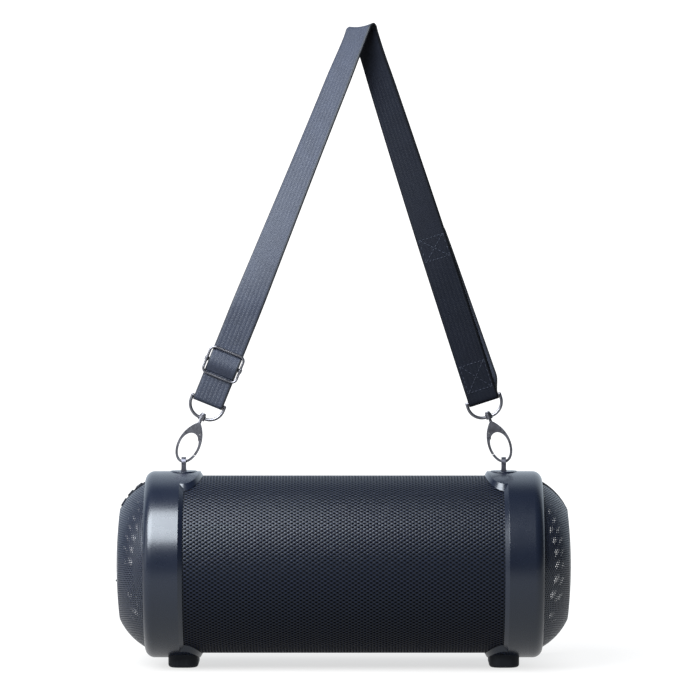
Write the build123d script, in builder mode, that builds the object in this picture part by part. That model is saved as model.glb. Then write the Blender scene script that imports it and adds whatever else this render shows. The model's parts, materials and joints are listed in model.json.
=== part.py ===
from build123d import *
import os
from math import asin, atan2, cos, degrees, hypot, radians, sin, sqrt

# Portable barrel speaker with a shoulder strap.
# Millimetres, +Z up, origin on the floor under the middle of the barrel.
# The barrel's axis runs along X, the front faces -Y, the controls sit at the -X end.

# ---------------------------------------------------------------- driving dimensions
# Barrel and end rings
ring_radius = 74.5          # land of each end ring
ring_start = 127.0          # nose of the ring over the cloth, from the middle
ring_end = 158.5            # open end of the ring, where the dome comes out
nose_bevel = 3.5            # sloped nose, along the axis
nose_height = 0.9           # upright edge of the nose
shoulder_length = 7.5       # rounded shoulder towards the dome
lip_tuck = 4.0              # how far the cloth runs in under the nose
foot_drop = 6.5             # floor to the underside of the ring
cloth_step = 3.5            # from the rings' land down to the cloth
cloth_thickness = 1.3
tube_wall = 3.0
fit_gap = 0.1               # between pieces that slide together and stay
body_gap = 0.3              # between a moving piece and what it moves past
tube_half_length = 138.0
ledge_width = 5.4           # ledge inside the ring that carries the baffle
ledge_thickness = 4.0
baffle_thickness = 3.0
baffle_start = 148.0        # inner face of the baffle, from the middle

# Dome grille
skirt_step = 8.1            # from the rings' land down to the dome's skirt
dome_rise = 23.1            # middle of the end face, past the ring
dome_corner_radius = 44.5   # where the cheek meets the end face
cheek_radius = 49.6         # bulge of the sloping cheek
face_radius = 355.0         # bulge of the nearly flat end face
grille_thickness = 0.9
vents_around = 30           # openings in each row round the cheek
cheek_vent_rows = 3
cheek_vent_step = 8.6       # degrees between rows
cheek_vent_size = (5.2, 3.6)
vent_margin = 3.0           # degrees of plain sheet beside a moulded panel

# Moulded panels set into the dome
panel_half_angle = 12.0     # degrees each side of the panel's own middle
panel_thickness = 2.0
port_azimuth = 110.0        # degrees from the top towards the back
port_panel_thickness = 3.6

# Keys on the top panel of the left end
key_radius = 3.1
key_proud = 0.9
key_travel = 0.6
key_flange_radius = 4.0
key_flange_thickness = 0.6
key_side = 6.4              # degrees of azimuth of the paired keys
key_step = 10.3             # degrees along the cheek between key rows
board_thickness = 1.2
control_board_size = (20.0, 19.0)
control_board_depth = 5.7   # board face below the panel's outer skin

# Battery lights on the top panel of the right end
light_radius = 1.1
light_step = 6.0            # degrees along the cheek between lights

# Drivers
driver_flange_step = 8.0    # from the ledge in to the driver's flange
driver_flange_thickness = 2.5
trim_height = 9.5           # glossy ring standing on the flange
trim_step = 1.0             # from the flange in to the trim ring
trim_width = 5.0            # from the trim ring in to the surround
surround_width = 8.0
cone_rise = 10.0            # dome of the diaphragm
cone_wall = 1.0
cone_travel = 2.0
basket_depth = 24.0
magnet_radius = 27.0
magnet_length = 15.0

# Lugs
lug_x = 128.0
lug_disc_radius = 11.0
lug_disc_thickness = 2.2
eye_rise = 7.0              # axis of both eyes above the rings' land
eye_radius = 4.4
eye_hole_radius = 2.5
eye_thickness = 3.6
eye_base_thickness = 4.8
eye_width = 8.4
shank_radius = 2.5
nut_across = 8.0
nut_height = 4.0

# Pads that carry the lug and the foot
pad_centre = 128.0
pad_length = 18.0           # from the pad's centre to its tip
pad_half_width = 33.0
pad_draft = 0.6             # outline lost for each millimetre of height

# Feet
foot_length = 24.0          # along X
foot_width = 48.0           # along Y
foot_corner = 9.0
foot_pocket = 1.5
foot_edge = 2.4

# Snap hooks
hook_lean = {"left": 26.0, "right": 21.0}    # degrees from upright, towards the middle
hook_half_width = 8.2       # centre line of the oval, across
hook_half_length = 14.0     # centre line of the oval, lower half
hook_wire = 2.0
hook_opening_top = 10.5     # top of the opening above the oval's centre
hook_tip = 20.0             # top of the crown above the oval's centre
hook_tip_half_width = 1.9
hook_plate = 2.2            # thickness of the oval
crown_plate = 3.6           # thickness of the crown
crown_start = 8.6           # the crown begins here, above the oval's centre
gate_pivot = (4.6, 11.6)    # from the oval's centre
gate_hub_radius = 2.0
gate_hub_thickness = 1.4
gate_tip = -5.6             # split between gate and hook, below the oval's centre
gate_pin_radius = 0.6
swivel_height = 24.5        # middle of the D-ring's boss above the oval's centre
stem_radius = 1.2
rivet_radius = 2.1
rivet_height = 1.6

# D-rings
dring_wire = 1.25
dring_half_width = 13.8     # centre line
dring_depth = 14.5          # boss to the straight bar
boss_radius = 2.7
boss_length = 4.4

# Webbing
web_width = 25.0
web_thickness = 1.8
loop_gap = 0.1              # webbing to the bar it is looped round
return_thickness = 1.2      # thinner end that comes back up to the adjuster
flat_run = 80.0             # untwisted webbing above each D-ring
fold_radius = 4.0           # middle of the webbing at the fold
fold_angle = 42.0           # degrees the fold line is turned from the strap's plane
fold_stretch = 1.08         # the fold line crosses the webbing at a slant
fold_x = 14.0
fold_rise = 344.5           # middle of the fold above the eyes' axis
lap_length = 140.0          # second layer sewn behind the right end
lap_shift = 4.0             # how far it stands out sideways at the D-ring

# Strap adjuster
buckle_height = 31.6        # middle of the frame above the left D-ring's bar, along the strap
buckle_wire = 1.0
buckle_half_width = 14.2    # centre line
buckle_half_length = 11.0
buckle_corner = 4.0

# Inside
chassis_drop = 35.0         # chassis plate below the barrel's axis
chassis_half_length = 95.0
chassis_thickness = 2.0
cell_radius = 9.2
cell_length = 65.0

# ---------------------------------------------------------------- worked out once
axis_z = ring_radius + foot_drop
cloth_radius = ring_radius - cloth_step
skirt_radius = ring_radius - skirt_step
ledge_radius = skirt_radius - ledge_width
driver_flange_radius = ledge_radius - driver_flange_step
trim_radius = driver_flange_radius - trim_step
surround_outer = trim_radius - trim_width
surround_inner = surround_outer - surround_width
driver_opening = surround_outer
dome_reach = ring_end + dome_rise
eye_z = axis_z + ring_radius + eye_rise
fold_z = eye_z + fold_rise
tube_radius = cloth_radius - cloth_thickness - fit_gap
ring_bore = skirt_radius + fit_gap
ring_land_start = ring_start + nose_bevel
baffle_end = baffle_start + baffle_thickness
axis_line = Axis((0, 0, axis_z), (1, 0, 0))
ends = (("left", -1), ("right", 1))

os.makedirs("parts", exist_ok=True)


def save(builder, name):
    """Label a finished piece and write it."""
    builder.part.label = name
    export_step(builder.part, f"parts/{name}.step")


def radial_plane(sign, azimuth=0.0):
    """Plane through the barrel's axis: local x runs outward, local y is the radius."""
    turn = radians(azimuth)
    return Plane(
        origin=(0, 0, axis_z),
        x_dir=(sign, 0, 0),
        z_dir=(0, -sign * cos(turn), sign * sin(turn)),
    )


def barrel_point(sign, along, radius, azimuth):
    """Point at a distance along the barrel, a radius and an azimuth from the top."""
    turn = radians(azimuth)
    return (sign * along, radius * sin(turn), axis_z + radius * cos(turn))


# ---------------------------------------------------------------- dome section
def crossing(centre_a, radius_a, centre_b, radius_b):
    """The crossing of two circles that has the larger radius from the axis."""
    dx, dy = centre_b[0] - centre_a[0], centre_b[1] - centre_a[1]
    apart = hypot(dx, dy)
    along = (radius_a**2 - radius_b**2 + apart**2) / (2 * apart)
    aside = sqrt(radius_a**2 - along**2)
    foot = (centre_a[0] + along * dx / apart, centre_a[1] + along * dy / apart)
    points = [
        (foot[0] - k * aside * dy / apart, foot[1] + k * aside * dx / apart) for k in (-1, 1)
    ]
    return max(points, key=lambda p: p[1])


face_centre = (dome_reach - face_radius, 0.0)
dome_corner = (face_centre[0] + sqrt(face_radius**2 - dome_corner_radius**2), dome_corner_radius)
cheek_chord = (dome_corner[0] - ring_end, dome_corner[1] - skirt_radius)
chord_length = hypot(*cheek_chord)
chord_to_centre = sqrt(cheek_radius**2 - (chord_length / 2) ** 2)
cheek_centre = (
    (dome_corner[0] + ring_end) / 2 + chord_to_centre * cheek_chord[1] / chord_length,
    (dome_corner[1] + skirt_radius) / 2 - chord_to_centre * cheek_chord[0] / chord_length,
)


def cheek_point(angle, inset=0.0):
    """Point of the cheek's section, at an angle from the radial direction."""
    reach = cheek_radius - inset
    return (
        cheek_centre[0] + reach * sin(radians(angle)),
        cheek_centre[1] + reach * cos(radians(angle)),
    )


def cheek_angle(point):
    """Angle of a point of the section, seen from the cheek's centre."""
    return degrees(atan2(point[0] - cheek_centre[0], point[1] - cheek_centre[1]))


def skirt_top(inset):
    """Where the straight skirt turns into the cheek."""
    level = skirt_radius - inset
    return (
        cheek_centre[0] + sqrt((cheek_radius - inset) ** 2 - (level - cheek_centre[1]) ** 2),
        level,
    )


def corner_point(inset):
    return crossing(cheek_centre, cheek_radius - inset, face_centre, face_radius - inset)


cheek_middle = (cheek_angle(skirt_top(0)) + cheek_angle(dome_corner)) / 2


def dome_section(inset):
    """Closed half section of the space inside the dome, inset from its outer skin."""
    start, corner = skirt_top(inset), corner_point(inset)
    half_way = cheek_point((cheek_angle(start) + cheek_angle(corner)) / 2, inset)
    apex = (dome_reach - inset, 0)
    bulge = (face_centre[0] + sqrt((face_radius - inset) ** 2 - (corner[1] / 2) ** 2), corner[1] / 2)
    with BuildLine() as outline:
        Polyline(apex, (baffle_end, 0), (baffle_end, start[1]), start)
        ThreePointArc(start, half_way, corner)
        ThreePointArc(corner, bulge, apex)
    return outline.line


def cheek_band(outer_inset, inner_inset):
    """Closed half section of a moulded panel lying in the cheek and the skirt."""
    with BuildLine() as outline:
        top, bottom = skirt_top(outer_inset), skirt_top(inner_inset)
        outer_end = cheek_point(cheek_angle(dome_corner), outer_inset)
        inner_end = cheek_point(cheek_angle(dome_corner), inner_inset)
        ThreePointArc(top, cheek_point(cheek_middle, outer_inset), outer_end)
        Line(outer_end, inner_end)
        ThreePointArc(inner_end, cheek_point(cheek_middle, inner_inset), bottom)
        Polyline(bottom, (baffle_end, bottom[1]), (baffle_end, top[1]), top)
    return outline.line


def cheek_plane(sign, azimuth, angle, depth=0.0):
    """Plane lying on the cheek, its normal pointing out of the dome."""
    along, radius = cheek_point(angle, depth)
    turn = radians(azimuth)
    tilt = radians(angle)
    normal = (sign * sin(tilt), cos(tilt) * sin(turn), cos(tilt) * cos(turn))
    return Plane(
        origin=barrel_point(sign, along, radius, azimuth),
        x_dir=(0, cos(turn), -sin(turn)),
        z_dir=normal,
    )


# ---------------------------------------------------------------- barrel
with BuildPart() as barrel_tube:
    with BuildSketch(radial_plane(1)):
        with Locations((0, tube_radius - tube_wall / 2)):
            Rectangle(2 * tube_half_length, tube_wall)
    revolve(axis=axis_line)
    with Locations((-lug_x, 0, axis_z + tube_radius), (lug_x, 0, axis_z + tube_radius)):
        Cylinder(shank_radius + fit_gap, 4 * tube_wall, mode=Mode.SUBTRACT)
save(barrel_tube, "barrel_tube")

cloth_half_length = ring_start + lip_tuck - 2 * fit_gap
with BuildPart() as cloth_sleeve:
    with BuildSketch(radial_plane(1)):
        with Locations((0, cloth_radius - cloth_thickness / 2)):
            Rectangle(2 * cloth_half_length, cloth_thickness)
    revolve(axis=axis_line)
    with Locations((-lug_x, 0, axis_z + cloth_radius), (lug_x, 0, axis_z + cloth_radius)):
        Cylinder(shank_radius + fit_gap, 4 * tube_wall, mode=Mode.SUBTRACT)
save(cloth_sleeve, "cloth_sleeve")


# ---------------------------------------------------------------- end rings
def foot_column(sign, grow, core_radius):
    """Upright oblong column under the ring, hollowed to sit against a cylinder."""
    with BuildPart() as column:
        with BuildSketch(Plane.XY):
            with Locations((sign * lug_x, 0)):
                RectangleRounded(foot_length + 2 * grow, foot_width + 2 * grow, foot_corner + grow)
        extrude(amount=axis_z - ring_radius + foot_width / 4)
        with Locations(Location((sign * lug_x, 0, axis_z), (0, 90, 0))):
            Cylinder(core_radius, 3 * foot_length, mode=Mode.SUBTRACT)
    return column


def ring_pads(sign):
    """Tongues of the ring over the cloth, at the top for the lug and below for the foot."""
    inner_radius = cloth_radius + fit_gap
    reference = sqrt(ring_radius**2 - pad_half_width**2)
    band_start, band_end = pad_centre - pad_length - 4, ring_land_start
    with BuildPart() as pads:
        for height in (0.6 * ring_radius, ring_radius + 4):
            shrink = pad_draft * (height - reference)
            with BuildSketch(Plane.XY.offset(axis_z + height)):
                with Locations((sign * pad_centre, 0)):
                    Ellipse(pad_length - shrink, pad_half_width - shrink)
        loft()
        mirror(about=Plane.XY.offset(axis_z))
        with BuildSketch(radial_plane(sign)):
            with Locations(((band_start + band_end) / 2, (inner_radius + ring_radius) / 2)):
                Rectangle(band_end - band_start, ring_radius - inner_radius)
        revolve(axis=axis_line, mode=Mode.INTERSECT)
    return pads


def end_ring(side, sign):
    pads = ring_pads(sign)
    pocket = foot_column(sign, fit_gap, ring_radius - foot_pocket)
    under_lip = cloth_radius + fit_gap
    tube_seat = tube_radius + fit_gap
    shoulder_start = (ring_end - shoulder_length, ring_radius)
    shoulder_end = (ring_end, ring_bore + 0.6)
    ledge_start = baffle_start - ledge_thickness
    with BuildPart() as ring:
        with BuildSketch(radial_plane(sign)):
            with BuildLine():
                Polyline(
                    (ring_start, under_lip),
                    (ring_start, under_lip + nose_height),
                    (ring_land_start, ring_radius),
                    shoulder_start,
                )
                TangentArc(shoulder_start, shoulder_end, tangent=(1, 0))
                Polyline(
                    shoulder_end,
                    (ring_end, ring_bore),
                    (baffle_start, ring_bore),
                    (baffle_start, ledge_radius),
                    (ledge_start, ledge_radius),
                    (ledge_start, ring_bore),
                    (tube_half_length + fit_gap, ring_bore),
                    (tube_half_length + fit_gap, tube_seat),
                    (ring_start + lip_tuck, tube_seat),
                    (ring_start + lip_tuck, under_lip),
                    (ring_start, under_lip),
                )
            make_face()
        revolve(axis=axis_line)
        add(pads.part)
        add(pocket.part, mode=Mode.SUBTRACT)
        with Locations((sign * lug_x, 0, axis_z + ring_radius - lug_disc_thickness)):
            Cylinder(
                lug_disc_radius + fit_gap,
                3 * lug_disc_thickness,
                align=(Align.CENTER, Align.CENTER, Align.MIN),
                mode=Mode.SUBTRACT,
            )
        with Locations((sign * lug_x, 0, axis_z + ring_radius)):
            Cylinder(shank_radius + fit_gap, 4 * tube_wall, mode=Mode.SUBTRACT)
    save(ring, f"{side}_end_ring")


for side, sign in ends:
    end_ring(side, sign)


# ---------------------------------------------------------------- feet
for side, sign in ends:
    foot = foot_column(sign, 0, ring_radius - foot_pocket + fit_gap)
    with BuildPart() as rubber_foot:
        add(foot.part)
        fillet(rubber_foot.faces().sort_by(Axis.Z)[0].edges(), radius=foot_edge)
    save(rubber_foot, f"{side}_foot")


# ---------------------------------------------------------------- lugs
disc_z = axis_z + ring_radius - lug_disc_thickness
for side, sign in ends:
    with BuildPart() as lug_disc:
        with BuildSketch(Plane.XY.offset(disc_z)):
            with Locations((sign * lug_x, 0)):
                Circle(lug_disc_radius)
                Rectangle(
                    eye_base_thickness + 2 * fit_gap, eye_width + 2 * fit_gap, mode=Mode.SUBTRACT
                )
        extrude(amount=lug_disc_thickness + 0.4)
        top_rim = lug_disc.faces().sort_by(Axis.Z)[-1].outer_wire().edges()
        chamfer(top_rim, length=0.6)
    save(lug_disc, f"{side}_lug_disc")

    with BuildPart() as lug_eye:
        with BuildSketch(Plane.YZ.offset(sign * lug_x)):
            with Locations((0, eye_z)):
                Circle(eye_radius)
            with Locations((0, (eye_z + disc_z) / 2)):
                Rectangle(eye_width, eye_z - disc_z)
            with Locations((0, eye_z)):
                Circle(eye_hole_radius, mode=Mode.SUBTRACT)
        extrude(amount=eye_thickness / 2, both=True)
        for level, thickness in (
            (disc_z, eye_base_thickness),
            (eye_z - eye_radius, eye_thickness),
        ):
            with BuildSketch(Plane.XY.offset(level)):
                with Locations((sign * lug_x, 0)):
                    Rectangle(thickness, eye_width)
        loft()
        with Locations((sign * lug_x, 0, disc_z)):
            Cylinder(
                shank_radius, disc_z - axis_z - tube_radius + tube_wall + 1.5 * nut_height,
                align=(Align.CENTER, Align.CENTER, Align.MAX),
            )
    save(lug_eye, f"{side}_lug_eye")

    with BuildPart() as lug_nut:
        with BuildSketch(Plane.XY.offset(axis_z + tube_radius - tube_wall - nut_height)):
            with Locations((sign * lug_x, 0)):
                RegularPolygon(nut_across / 2, 6, major_radius=False)
                Circle(shank_radius + fit_gap / 2, mode=Mode.SUBTRACT)
        extrude(amount=nut_height - 0.5)
    save(lug_nut, f"{side}_lug_nut")


# ---------------------------------------------------------------- dome grilles
def panel_window(sign, azimuth):
    """Wedge through the dome's cheek and skirt, a hair wider than a moulded panel."""
    half = panel_half_angle + 0.15
    with BuildPart() as window:
        with BuildSketch(radial_plane(sign, azimuth + half)):
            with BuildLine():
                outer_end = cheek_point(cheek_angle(dome_corner), -2)
                inner_end = cheek_point(cheek_angle(dome_corner) + 0.1, 3)
                top, bottom = skirt_top(-2), skirt_top(3)
                ThreePointArc(top, cheek_point(cheek_middle, -2), outer_end)
                Line(outer_end, inner_end)
                ThreePointArc(inner_end, cheek_point(cheek_middle, 3), bottom)
                Polyline(bottom, (baffle_end - 1, bottom[1]), (baffle_end - 1, top[1]), top)
            make_face()
        revolve(axis=axis_line, revolution_arc=2 * half)
    return window


def cheek_vents(sign, azimuths):
    """Staggered rows of openings in the cheek, left out beside the moulded panels."""
    with BuildPart() as vents:
        for row in range(cheek_vent_rows):
            angle = cheek_middle + (row - (cheek_vent_rows - 1) / 2) * cheek_vent_step
            for k in range(vents_around):
                turn = (k + 0.5 * (row % 2)) * 360 / vents_around
                clear = [abs((turn - azimuth + 180) % 360 - 180) for azimuth in azimuths]
                if min(clear) > panel_half_angle + vent_margin:
                    with BuildSketch(cheek_plane(sign, turn, angle)):
                        Rectangle(*cheek_vent_size)
                    extrude(amount=2 * grille_thickness, both=True)
    return vents


panels = {"left": (0.0, port_azimuth), "right": (0.0,)}
for side, sign in ends:
    windows = [panel_window(sign, azimuth) for azimuth in panels[side]]
    with BuildPart() as grille:
        with BuildSketch(radial_plane(sign)):
            with BuildLine():
                add(dome_section(0))
            make_face()
        revolve(axis=axis_line)
        with BuildSketch(radial_plane(sign)):
            with BuildLine():
                add(dome_section(grille_thickness))
            make_face()
        revolve(axis=axis_line, mode=Mode.SUBTRACT)
        for window in windows:
            add(window.part, mode=Mode.SUBTRACT)
        add(cheek_vents(sign, panels[side]).part, mode=Mode.SUBTRACT)
    save(grille, f"{side}_dome_grille")


# ---------------------------------------------------------------- moulded panels
def keypad():
    """Azimuth and cheek angle of each key: a five-spot pattern."""
    rows = (cheek_middle - key_step, cheek_middle + key_step)
    paired = [(side_turn, row) for row in rows for side_turn in (-key_side, key_side)]
    return [(0.0, cheek_middle)] + paired


key_names = ("play_key", "volume_down_key", "volume_up_key", "power_key", "mode_key")

with BuildPart() as control_panel:
    with BuildSketch(radial_plane(-1, panel_half_angle)):
        with BuildLine():
            add(cheek_band(0, panel_thickness))
        make_face()
    revolve(axis=axis_line, revolution_arc=2 * panel_half_angle)
    for azimuth, angle in keypad():
        with BuildSketch(cheek_plane(-1, azimuth, angle, 2 * panel_thickness)):
            Circle(key_radius + body_gap)
        extrude(amount=4 * panel_thickness, mode=Mode.SUBTRACT)
    with BuildSketch(cheek_plane(-1, 0, cheek_middle, control_board_depth)):
        with Locations((-8.2, 0), (8.2, 0)):
            Circle(1.4)
    extrude(amount=control_board_depth - panel_thickness / 2)
save(control_panel, "control_panel")

with BuildPart() as control_board:
    with BuildSketch(cheek_plane(-1, 0, cheek_middle, control_board_depth + board_thickness)):
        RectangleRounded(*control_board_size, 2)
    extrude(amount=board_thickness)
save(control_board, "control_board")

for key_name, (azimuth, angle) in zip(key_names, keypad()):
    flange_floor = panel_thickness + 0.6 + key_flange_thickness
    with BuildPart() as key:
        with BuildSketch(cheek_plane(-1, azimuth, angle, flange_floor)):
            Circle(key_flange_radius)
        extrude(amount=key_flange_thickness)
        with BuildSketch(cheek_plane(-1, azimuth, angle, flange_floor)):
            Circle(key_radius)
        extrude(amount=flange_floor + key_proud)
        outward = Axis((0, 0, 0), cheek_plane(-1, azimuth, angle).z_dir)
        fillet(key.faces().sort_by(outward)[-1].edges(), radius=0.5)
    save(key, key_name)

light_angles = [cheek_middle + light_step * k for k in (-1.5, -0.5, 0.5, 1.5)]
with BuildPart() as light_panel:
    with BuildSketch(radial_plane(1, panel_half_angle)):
        with BuildLine():
            add(cheek_band(0, panel_thickness))
        make_face()
    revolve(axis=axis_line, revolution_arc=2 * panel_half_angle)
    for angle in light_angles:
        with BuildSketch(cheek_plane(1, 0, angle, 2 * panel_thickness)):
            Circle(light_radius + fit_gap / 2)
        extrude(amount=4 * panel_thickness, mode=Mode.SUBTRACT)
save(light_panel, "light_panel")

with BuildPart() as battery_lights:
    for angle in light_angles:
        with BuildSketch(cheek_plane(1, 0, angle, panel_thickness + 1)):
            Circle(light_radius)
        extrude(amount=panel_thickness + 1)
save(battery_lights, "battery_lights")


# ---------------------------------------------------------------- port panel and cover
cover_span = (cheek_angle(skirt_top(0)) + 3.0, cheek_angle(dome_corner) - 2.5)
cover_thickness = port_panel_thickness / 2 - fit_gap
socket_places = ((-3.4, 0.0), (5.0, 0.0))   # charging and audio, across the panel
charging_opening = (3.6, 9.4)
audio_opening_radius = 2.6


def cover_section(grow):
    """Closed section of the cover, or of the recess that holds it."""
    first, last = cover_span[0] - grow, cover_span[1] + grow
    middle = (first + last) / 2
    depth = cover_thickness + (fit_gap if grow else 0)
    skin = -1.0 if grow else 0.0
    with BuildLine() as outline:
        outer_start, outer_end = cheek_point(first, skin), cheek_point(last, skin)
        inner_start, inner_end = cheek_point(first, depth), cheek_point(last, depth)
        ThreePointArc(outer_start, cheek_point(middle, skin), outer_end)
        Line(outer_end, inner_end)
        ThreePointArc(inner_end, cheek_point(middle, depth), inner_start)
        Line(inner_start, outer_start)
    return outline.line


port_plane = cheek_plane(-1, port_azimuth, cheek_middle, port_panel_thickness)
cover_half_angle = panel_half_angle - 2.5
recess_half_angle = cover_half_angle + 0.3

with BuildPart() as port_panel:
    with BuildSketch(radial_plane(-1, port_azimuth + panel_half_angle)):
        with BuildLine():
            add(cheek_band(0, port_panel_thickness))
        make_face()
    revolve(axis=axis_line, revolution_arc=2 * panel_half_angle)
    with BuildSketch(radial_plane(-1, port_azimuth + recess_half_angle)):
        with BuildLine():
            add(cover_section(0.3))
        make_face()
    revolve(axis=axis_line, revolution_arc=2 * recess_half_angle, mode=Mode.SUBTRACT)
    with BuildSketch(port_plane):
        with Locations(socket_places[0]):
            RectangleRounded(*charging_opening, charging_opening[0] / 2 - 0.01)
        with Locations(socket_places[1]):
            Circle(audio_opening_radius)
    extrude(amount=2 * port_panel_thickness, mode=Mode.SUBTRACT)
save(port_panel, "port_panel")

socket_length = 4.0
socket_drop = 0.9           # below the middle of the panel's hollow side
with BuildPart() as charging_socket:
    with BuildSketch(port_plane.offset(-socket_length)):
        with Locations(socket_places[0]):
            RectangleRounded(charging_opening[0] + 0.6, charging_opening[1] + 0.6, 1.9)
    extrude(amount=socket_length - socket_drop)
    with BuildSketch(port_plane.offset(-socket_length + 1)):
        with Locations(socket_places[0]):
            RectangleRounded(charging_opening[0] - 0.6, charging_opening[1] - 0.6, 1.3)
            RectangleRounded(0.8, charging_opening[1] - 3, 0.3, mode=Mode.SUBTRACT)
    extrude(amount=socket_length, mode=Mode.SUBTRACT)
save(charging_socket, "charging_socket")

with BuildPart() as audio_socket:
    with BuildSketch(port_plane.offset(-socket_length)):
        with Locations(socket_places[1]):
            RectangleRounded(6.4, 7.4, 0.6)
    extrude(amount=socket_length - socket_drop)
    with BuildSketch(port_plane.offset(-socket_length + 1)):
        with Locations(socket_places[1]):
            Circle(1.8)
    extrude(amount=socket_length, mode=Mode.SUBTRACT)
save(audio_socket, "audio_socket")

with BuildPart() as port_board:
    with BuildSketch(port_plane.offset(-socket_length - board_thickness)):
        RectangleRounded(17, 13, 1)
    extrude(amount=board_thickness)
save(port_board, "port_board")

tab_thickness = 0.8
tab_width = 7.0
tab_reach = 3.6             # past the middle of the dome's end face
tab_root = barrel_point(-1, *cheek_point(cover_span[1] - 7), port_azimuth)
with BuildPart() as tab:
    with BuildSketch(Plane.XY.offset(tab_root[2] - tab_thickness / 2)):
        with Locations((-dome_reach - tab_reach, tab_root[1])):
            RectangleRounded(2 * (dome_reach + tab_reach + tab_root[0]) + 20, tab_width, 1.2)
            Rectangle(40, 4 * tab_width, align=(Align.MAX, Align.CENTER), mode=Mode.SUBTRACT)
    extrude(amount=tab_thickness)
    with BuildSketch(radial_plane(-1)):
        with BuildLine():
            add(dome_section(cover_thickness / 2))
        make_face()
    revolve(axis=axis_line, mode=Mode.SUBTRACT)
with BuildPart() as port_cover:
    with BuildSketch(radial_plane(-1, port_azimuth + cover_half_angle)):
        with BuildLine():
            add(cover_section(0))
        make_face()
    revolve(axis=axis_line, revolution_arc=2 * cover_half_angle)
    add(tab.part)
save(port_cover, "port_cover")


# ---------------------------------------------------------------- drivers
flange_end = baffle_end + driver_flange_thickness
trim_end = flange_end + trim_height
coil_radius = 12.5
coil_wall = 0.5
coil_gap = 0.4
magnet_face = baffle_start - basket_depth
magnet_end = magnet_face - magnet_length
spoke_count = 6

for side, sign in ends:
    with BuildPart() as baffle:
        with BuildSketch(radial_plane(sign)):
            with Locations(((baffle_start + baffle_end) / 2, (ring_bore + driver_opening) / 2)):
                Rectangle(baffle_thickness, ring_bore - driver_opening - 2 * fit_gap)
        revolve(axis=axis_line)
    save(baffle, f"{side}_baffle")

    with BuildPart() as driver_frame:
        basket_wall = 1.6
        basket_mouth = driver_opening - 2 * fit_gap
        with BuildSketch(radial_plane(sign)):
            with BuildLine():
                Polyline(
                    (flange_end, driver_flange_radius),
                    (flange_end, surround_outer - 2),
                    (baffle_end, surround_outer - 2),
                    (magnet_face + basket_wall, magnet_radius - 2),
                    (magnet_face + basket_wall, coil_radius + 3),
                    (magnet_face, coil_radius + 3),
                    (magnet_face, magnet_radius),
                    (baffle_start, basket_mouth),
                    (baffle_end, basket_mouth),
                    (baffle_end, driver_flange_radius),
                    close=True,
                )
            make_face()
        revolve(axis=axis_line)
        window_plane = Plane.YZ.offset(sign * (magnet_face + basket_wall + 1))
        with BuildSketch(window_plane):
            with Locations((0, axis_z)):
                with PolarLocations((magnet_radius + basket_mouth) / 2 - 0.5, spoke_count):
                    RectangleRounded(basket_mouth - magnet_radius - 6, 26, 3)
        extrude(amount=sign * (basket_depth - 5), mode=Mode.SUBTRACT)
    save(driver_frame, f"{side}_driver_frame")

    with BuildPart() as magnet:
        with BuildSketch(radial_plane(sign)):
            with Locations(((magnet_face + magnet_end) / 2, magnet_radius / 2)):
                Rectangle(magnet_length, magnet_radius)
        revolve(axis=axis_line)
        with BuildSketch(radial_plane(sign)):
            with Locations((magnet_face, coil_radius)):
                Rectangle(1.6 * magnet_length, coil_wall + 2 * coil_gap)
        revolve(axis=axis_line, mode=Mode.SUBTRACT)
        rear_edges = magnet.edges().group_by(Axis.X)[0 if sign > 0 else -1]
        chamfer(rear_edges, length=1.5)
    save(magnet, f"{side}_magnet")

    with BuildPart() as trim_ring:
        with BuildSketch(radial_plane(sign)):
            with BuildLine():
                Polyline(
                    (flange_end, trim_radius),
                    (flange_end, surround_outer),
                    (trim_end - 1.5, surround_outer),
                    (trim_end, surround_outer + 1.5),
                )
                ThreePointArc(
                    (trim_end, surround_outer + 1.5),
                    (trim_end - 1.4, trim_radius - 1.2),
                    (trim_end - 4, trim_radius),
                )
                Line((trim_end - 4, trim_radius), (flange_end, trim_radius))
            make_face()
        revolve(axis=axis_line)
    save(trim_ring, f"{side}_trim_ring")

    roll_middle = (surround_outer + surround_inner) / 2
    roll_base = trim_end - 3.5
    with BuildPart() as surround:
        with BuildSketch(radial_plane(sign)):
            for inset, part_mode in ((0.0, Mode.ADD), (0.8, Mode.SUBTRACT)):
                with BuildLine():
                    start = (roll_base - inset, surround_outer - fit_gap - inset)
                    finish = (roll_base - inset, surround_inner + inset)
                    top = (roll_base + (surround_outer - surround_inner) / 2 - inset, roll_middle)
                    ThreePointArc(start, top, finish)
                    Line(finish, start)
                make_face(mode=part_mode)
            with Locations(((flange_end + roll_base) / 2, surround_outer - fit_gap - 0.5)):
                Rectangle(roll_base - flange_end, 1.0)
        revolve(axis=axis_line)
    save(surround, f"{side}_surround")

    cone_edge = surround_inner - body_gap
    with BuildPart() as cone:
        for inset, part_mode in ((0.0, Mode.ADD), (cone_wall, Mode.SUBTRACT)):
            with BuildSketch(radial_plane(sign)):
                edge = cone_edge - 1.2 * inset
                rim, apex = (roll_base - inset, edge), (roll_base + cone_rise - inset, 0)
                back = roll_base - 2 * cone_wall - inset
                cap_radius = (edge**2 + cone_rise**2) / (2 * cone_rise)
                half_angle = asin(edge / cap_radius) / 2
                belly = (
                    apex[0] - cap_radius * (1 - cos(half_angle)), cap_radius * sin(half_angle)
                )
                with BuildLine():
                    ThreePointArc(rim, belly, apex)
                    Polyline(apex, (back, 0), (back, edge), rim)
                make_face()
            revolve(axis=axis_line, mode=part_mode)
        coil_start, coil_end = magnet_face - 5, roll_base + 0.86 * cone_rise
        with BuildSketch(radial_plane(sign)):
            with Locations(((coil_start + coil_end) / 2, coil_radius)):
                Rectangle(coil_end - coil_start, coil_wall)
        revolve(axis=axis_line)
    save(cone, f"{side}_cone")


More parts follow.
